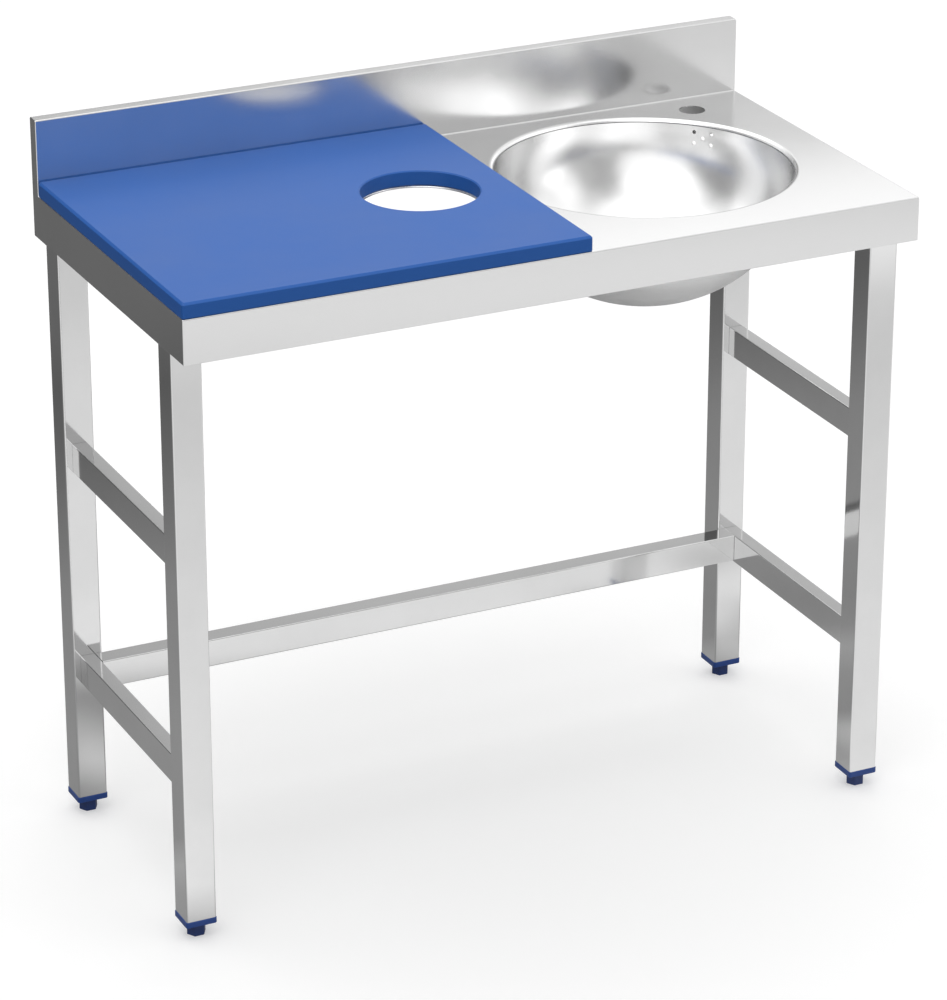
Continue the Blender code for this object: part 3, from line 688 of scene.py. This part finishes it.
foot = {
    "half": 0.0209, "plateLow": 0.019, "plateHigh": 0.0268, "corner": 0.0035, "cornerSteps": 6,
    "edge": 0.0008, "spigotHalf": 0.0185, "spigotHeight": 0.026, "spigotWall": 0.0025,
    "bore": 0.0053, "boreSteps": 32, "cutTo": 0.06,
    "acrossFlats": 0.022, "hexTop": 0.0187, "hexEdge": 0.0009, "edgeSteps": 3,
    "studRadius": 0.0049, "studSunk": 0.001, "threadDepth": 0.0008, "pitch": 0.0015, "turns": 33,
    "threadSteps": 20, "threadSmoothTo": 50,
}


def makeFootPlate():
    f = foot
    low, high = f["plateLow"], f["plateHigh"]
    plate = addBlock("foot_plate", (-f["half"], -f["half"], low), (f["half"], f["half"], high))
    startEdit(plate, "EDGE")
    pickEdges(plate, along(zAxis))
    bevelPicked(f["corner"], f["cornerSteps"])
    pickEdges(plate, atLevel(low, high))
    bevelPicked(f["edge"], f["edgeSteps"])

    # hollow spigot
    bpy.ops.mesh.select_mode(type="FACE")
    pickFaces(plate, lambda c, n: n.z > flatEnough)
    bpy.ops.mesh.inset(thickness=f["half"] - f["edge"] - f["spigotHalf"])
    bpy.ops.mesh.extrude_region_move(TRANSFORM_OT_translate={"value": (0.0, 0.0, f["spigotHeight"])})
    endEdit()
    inner = f["spigotHalf"] - f["spigotWall"]
    cut(plate, addBlock("hollow", (-inner, -inner, high), (inner, inner, f["cutTo"])))
    cut(plate, addDrum("bore", f["boreSteps"], f["bore"], 0.0, f["cutTo"]))
    smoothPiece(plate)
    return plate


def makeHexagon():
    f = foot
    hexagon = addDrum("foot_hexagon", 6, f["acrossFlats"] / math.sqrt(3), 0.0, f["hexTop"], turn=math.pi / 2)
    startEdit(hexagon, "EDGE")
    bpy.ops.mesh.select_all(action="SELECT")
    bevelPicked(f["hexEdge"], f["edgeSteps"])
    endEdit()
    smoothPiece(hexagon)
    return hexagon


def makeStud():
    # one turn of thread, wound upwards
    f = foot
    low = f["hexTop"] - f["studSunk"]
    root = f["studRadius"] - f["threadDepth"]
    stud = drawProfile(
        "foot_stud", [(root, low), (f["studRadius"], low + f["pitch"] / 2), (root, low + f["pitch"])])
    applyModifier(
        stud, "SCREW", axis="Z", steps=f["threadSteps"], render_steps=f["threadSteps"],
        screw_offset=f["pitch"], iterations=f["turns"], use_merge_vertices=True, merge_threshold=0.00001)
    startEdit(stud, "VERT")
    bpy.ops.mesh.select_all(action="SELECT")
    bpy.ops.mesh.remove_doubles(threshold=weldReach)
    bpy.ops.mesh.select_all(action="DESELECT")
    bpy.ops.mesh.select_non_manifold()
    bpy.ops.mesh.fill(use_beauty=True)
    bpy.ops.mesh.select_all(action="SELECT")
    bpy.ops.mesh.normals_make_consistent(inside=False)
    endEdit()
    smoothPiece(stud, f["threadSmoothTo"])
    return stud


plate, hexagon, stud = makeFootPlate(), makeHexagon(), makeStud()
for name, (x, y) in legPlaces.items():
    insert = copyTo(plate, f"foot_plate_{name}", x, y)
    fitPiece(insert, plateBlue, "foot_plastic", "root", f"foot_insert_{name}")
    grip = copyTo(hexagon, f"foot_hexagon_{name}", x, y)
    fitPiece(grip, footBlue, "foot_plastic", f"foot_{name}", f"levelling_foot_{name}")
    thread = copyTo(stud, f"foot_stud_{name}", x, y)
    fitPiece(thread, fixingSteel, "fixing_steel", f"foot_{name}", f"levelling_foot_{name}")
for pattern in (plate, hexagon, stud):
    bpy.data.objects.remove(pattern, do_unlink=True)
print("feet made")


# fixings and channels keep their solids

for name, node in nodes.items():
    if name.startswith(("leg_bracket", "leg_nut", "leg_bolt", "stud_nut")):
        dress(node, fixingSteel)
    if name.startswith("worktop_channel"):
        dress(node, millSteel)
print("fixings finished")


# floor, studio light and camera

studio = {
    "floorSize": 60.0, "floorTone": 0.72, "floorGlow": 0.38, "floorBounce": 0.12, "floorTurn": 14.0,
    "shadeMiddle": (-0.10, -0.08), "shadeReach": 0.95, "shadeTone": 0.89,
    "level": 0.65, "dimmest": 0.16, "softLight": 0.78, "lightTone": 0.8, "boxEdges": (1.35, 0.65),
    "lampPlace": (-0.5, -0.6, 3.4), "lampTarget": (0.0, 0.0, 0.5), "lampSize": 2.6, "lampPower": 8.0,
    "cardPlace": (1.0, 1.1, 1.62), "cardSize": (2.6, 0.62), "cardPower": 3.2,
}
# bearing from the front towards the right, height above the level, half width, all in degrees, then strength
softboxes = (
    (-37.0, 24.0, 26.0, 0.94),
    (-38.0, 44.0, 18.0, 0.20),
    (-51.0, 58.0, 30.0, 0.84),
    (51.0, 3.0, 15.0, 0.83),
    (67.0, 26.0, 27.0, 0.64),
    (157.0, 32.0, 18.0, 0.25),
    (-172.0, 60.0, 27.0, 1.25),
    (-134.0, 44.0, 20.0, 0.65),
    (-97.0, 47.0, 13.0, 0.31),
    (-138.0, 12.0, 15.0, -0.25),
    (45.0, 50.0, 18.0, 0.27),
    (-103.0, 24.0, 22.0, -0.20),
    (-170.0, 14.0, 26.0, -0.66),
    (108.0, 31.0, 28.0, 0.45),
    (22.0, 75.0, 21.0, 0.67),
    (8.0, 24.0, 14.0, -0.06),
    (45.0, 22.0, 14.0, 0.26),
    (150.0, 36.0, 14.0, -0.23),
    (143.0, 45.0, 12.0, 0.42),
    (-70.0, 37.0, 12.0, 0.38),
    (26.0, 23.0, 12.0, 0.11),
)
# what the metal sees of the floor, from front to back along the turned depth: distance, brightness
floorSteps = (
    (-3.2, 0.68), (-2.7, 0.66), (-2.62, 0.67), (-2.55, 0.97), (-2.45, 1.0), (-2.35, 0.99), (-2.25, 0.89),
    (-2.1, 0.72), (-1.8, 0.67), (-1.5, 0.73), (-1.2, 0.79), (-0.9, 0.83), (-0.6, 0.86), (-0.45, 0.89),
    (-0.38, 0.93), (-0.3, 0.95), (-0.22, 0.94), (-0.15, 0.66), (-0.08, 0.34), (0.05, 0.36), (0.13, 0.43),
    (0.2, 0.31), (0.3, 0.29), (0.5, 0.3), (0.7, 0.28), (1.0, 0.25), (1.2, 0.2), (1.4, 0.16), (1.6, 0.13),
    (1.8, 0.11), (2.1, 0.14), (3.2, 0.14),
)
# soft spots on that floor, which the lower legs mirror: middle, half width and depth, change of brightness
floorSpots = (
    ((-0.41, 0.02), (0.11, 0.24), 0.32),
    ((0.54, 0.06), (0.11, 0.20), 0.34),
    ((0.42, -0.13), (0.10, 0.13), -0.50),
    ((-0.45, -0.25), (0.09, 0.12), 0.08),
    ((0.66, -0.24), (0.13, 0.15), -0.28),
)


def makeWorld():
    world = bpy.data.worlds.new("studio")
    bpy.context.scene.world = world
    world.use_nodes = True
    tree = world.node_tree
    tree.nodes.clear()
    towards = addNode(tree, "ShaderNodeTexCoord").outputs["Generated"]
    total = studio["level"]
    for bearing, height, width, strength in softboxes:
        around, up = math.radians(bearing), math.radians(height)
        facing = (math.sin(around) * math.cos(up), -math.cos(around) * math.cos(up), math.sin(up))
        outer, inner = (math.cos(math.radians(width * share)) for share in studio["boxEdges"])
        closeness = addNode(tree, "ShaderNodeVectorMath", towards, facing, operation="DOT_PRODUCT")
        glow = fade(tree, closeness.outputs["Value"], outer, inner, 0.0, strength)
        total = calculate(tree, "ADD", total, glow)
    level = calculate(tree, "MAXIMUM", total, studio["dimmest"])

    # metal sees the boxes at full strength, plain surfaces get a softer share
    rays = addNode(tree, "ShaderNodeLightPath").outputs
    share = spread(tree, rays["Is Glossy Ray"], studio["softLight"], 1.0, fromLow=0.0, fromHigh=1.0)
    light = addNode(
        tree, "ShaderNodeBackground", grey(studio["lightTone"]), calculate(tree, "MULTIPLY", level, share))
    white = addNode(tree, "ShaderNodeBackground", grey(1.0), 1.0)
    through = calculate(tree, "MAXIMUM", rays["Is Camera Ray"], rays["Is Transmission Ray"])
    mix = addNode(tree, "ShaderNodeMixShader", through, light.outputs[0], white.outputs[0])
    addNode(tree, "ShaderNodeOutputWorld", mix.outputs[0])


def makeFloor():
    bpy.ops.mesh.primitive_plane_add(size=studio["floorSize"], location=(0.0, 0.0, 0.0))
    floor = bpy.context.object
    floor.name = "studio_floor"
    finish = bpy.data.materials.new("pale floor")
    finish.use_nodes = True
    tree = finish.node_tree
    tree.nodes.clear()

    # in the metal the floor is bright in front of the table and falls off behind it
    place = addNode(tree, "ShaderNodeTexCoord")
    turned = addNode(
        tree, "ShaderNodeMapping", place.outputs["Object"],
        Rotation=(0.0, 0.0, -math.radians(studio["floorTurn"])))
    parts = addNode(tree, "ShaderNodeSeparateXYZ", turned.outputs["Vector"])
    front, back = floorSteps[0][0], floorSteps[-1][0]
    depth = spread(tree, parts.outputs["Y"], 0.0, 1.0, fromLow=front, fromHigh=back)
    ramp = addNode(tree, "ShaderNodeValToRGB", depth)
    stops = ramp.color_ramp.elements
    for distance, brightness in floorSteps[1:-1]:
        stops.new((distance - front) / (back - front)).color = grey(brightness)
    stops[0].color = grey(floorSteps[0][1])
    stops[-1].color = grey(floorSteps[-1][1])
    mirrored = ramp.outputs["Color"]
    for (x, y), (wide, deep), change in floorSpots:
        spot = fade(tree, reachFrom(tree, x, y, wide, deep), 0.0, 1.0, change, 0.0)
        mirrored = calculate(tree, "ADD", mirrored, spot)

    # the camera sees it white, with a soft shade under the table
    away = reachFrom(tree, *studio["shadeMiddle"])
    shade = fade(tree, away, 0.0, studio["shadeReach"], studio["shadeTone"], 1.0)
    rays = addNode(tree, "ShaderNodeLightPath").outputs
    tone = mixColours(tree, rays["Is Camera Ray"], mirrored, shade)
    toned = addNode(tree, "ShaderNodeVectorMath", tone, operation="SCALE", Scale=studio["floorTone"])
    seen = addNode(tree, "ShaderNodeBsdfDiffuse", toned.outputs[0])
    glow = addNode(tree, "ShaderNodeEmission", tone, studio["floorGlow"])
    both = addNode(tree, "ShaderNodeAddShader", seen.outputs[0], glow.outputs[0])

    # camera, metal and glass see it so; other light bounces off plain grey
    bounce = addNode(tree, "ShaderNodeBsdfDiffuse", grey(studio["floorBounce"]))
    first = calculate(tree, "MAXIMUM", rays["Is Camera Ray"], rays["Is Glossy Ray"])
    either = calculate(tree, "MAXIMUM", first, rays["Is Transmission Ray"])
    mix = addNode(tree, "ShaderNodeMixShader", either, bounce.outputs[0], both.outputs[0])
    addNode(tree, "ShaderNodeOutputMaterial", mix.outputs[0])
    dress(floor, finish)


def makeLamps():
    bpy.ops.object.light_add(type="AREA", location=studio["lampPlace"])
    lamp = bpy.context.object
    lamp.name = "overhead_lamp"
    lamp.data.size = studio["lampSize"]
    lamp.data.energy = studio["lampPower"]
    lamp.visible_glossy = False
    aim = Vector(studio["lampTarget"]) - lamp.location
    lamp.rotation_euler = aim.to_track_quat("-Z", "Y").to_euler()

    # light card behind the table, which the worktop mirrors towards its front edge
    bpy.ops.object.light_add(type="AREA", location=studio["cardPlace"], rotation=(-math.pi / 2, 0.0, 0.0))
    card = bpy.context.object
    card.name = "rear_card"
    card.data.shape = "RECTANGLE"
    card.data.size, card.data.size_y = studio["cardSize"]
    card.data.energy = studio["cardPower"]
    card.visible_camera = False


camera = {
    "place": (-2.22625, -4.61923, 2.64965), "lens": 154.878, "sensor": 36.0,
    "pitch": 0.40838, "yaw": -0.44850, "roll": -0.00030,
}


def makeCamera():
    bpy.ops.object.camera_add(
        location=camera["place"], rotation=(math.pi / 2 - camera["pitch"], camera["roll"], camera["yaw"]))
    view = bpy.context.object
    view.data.lens = camera["lens"]
    view.data.sensor_width = camera["sensor"]
    view.data.sensor_fit = "AUTO"
    bpy.context.scene.camera = view


makeWorld()
makeFloor()
makeLamps()
makeCamera()
bpy.context.scene.view_settings.view_transform = "Standard"
print("studio set")

bpy.ops.object.select_all(action="DESELECT")
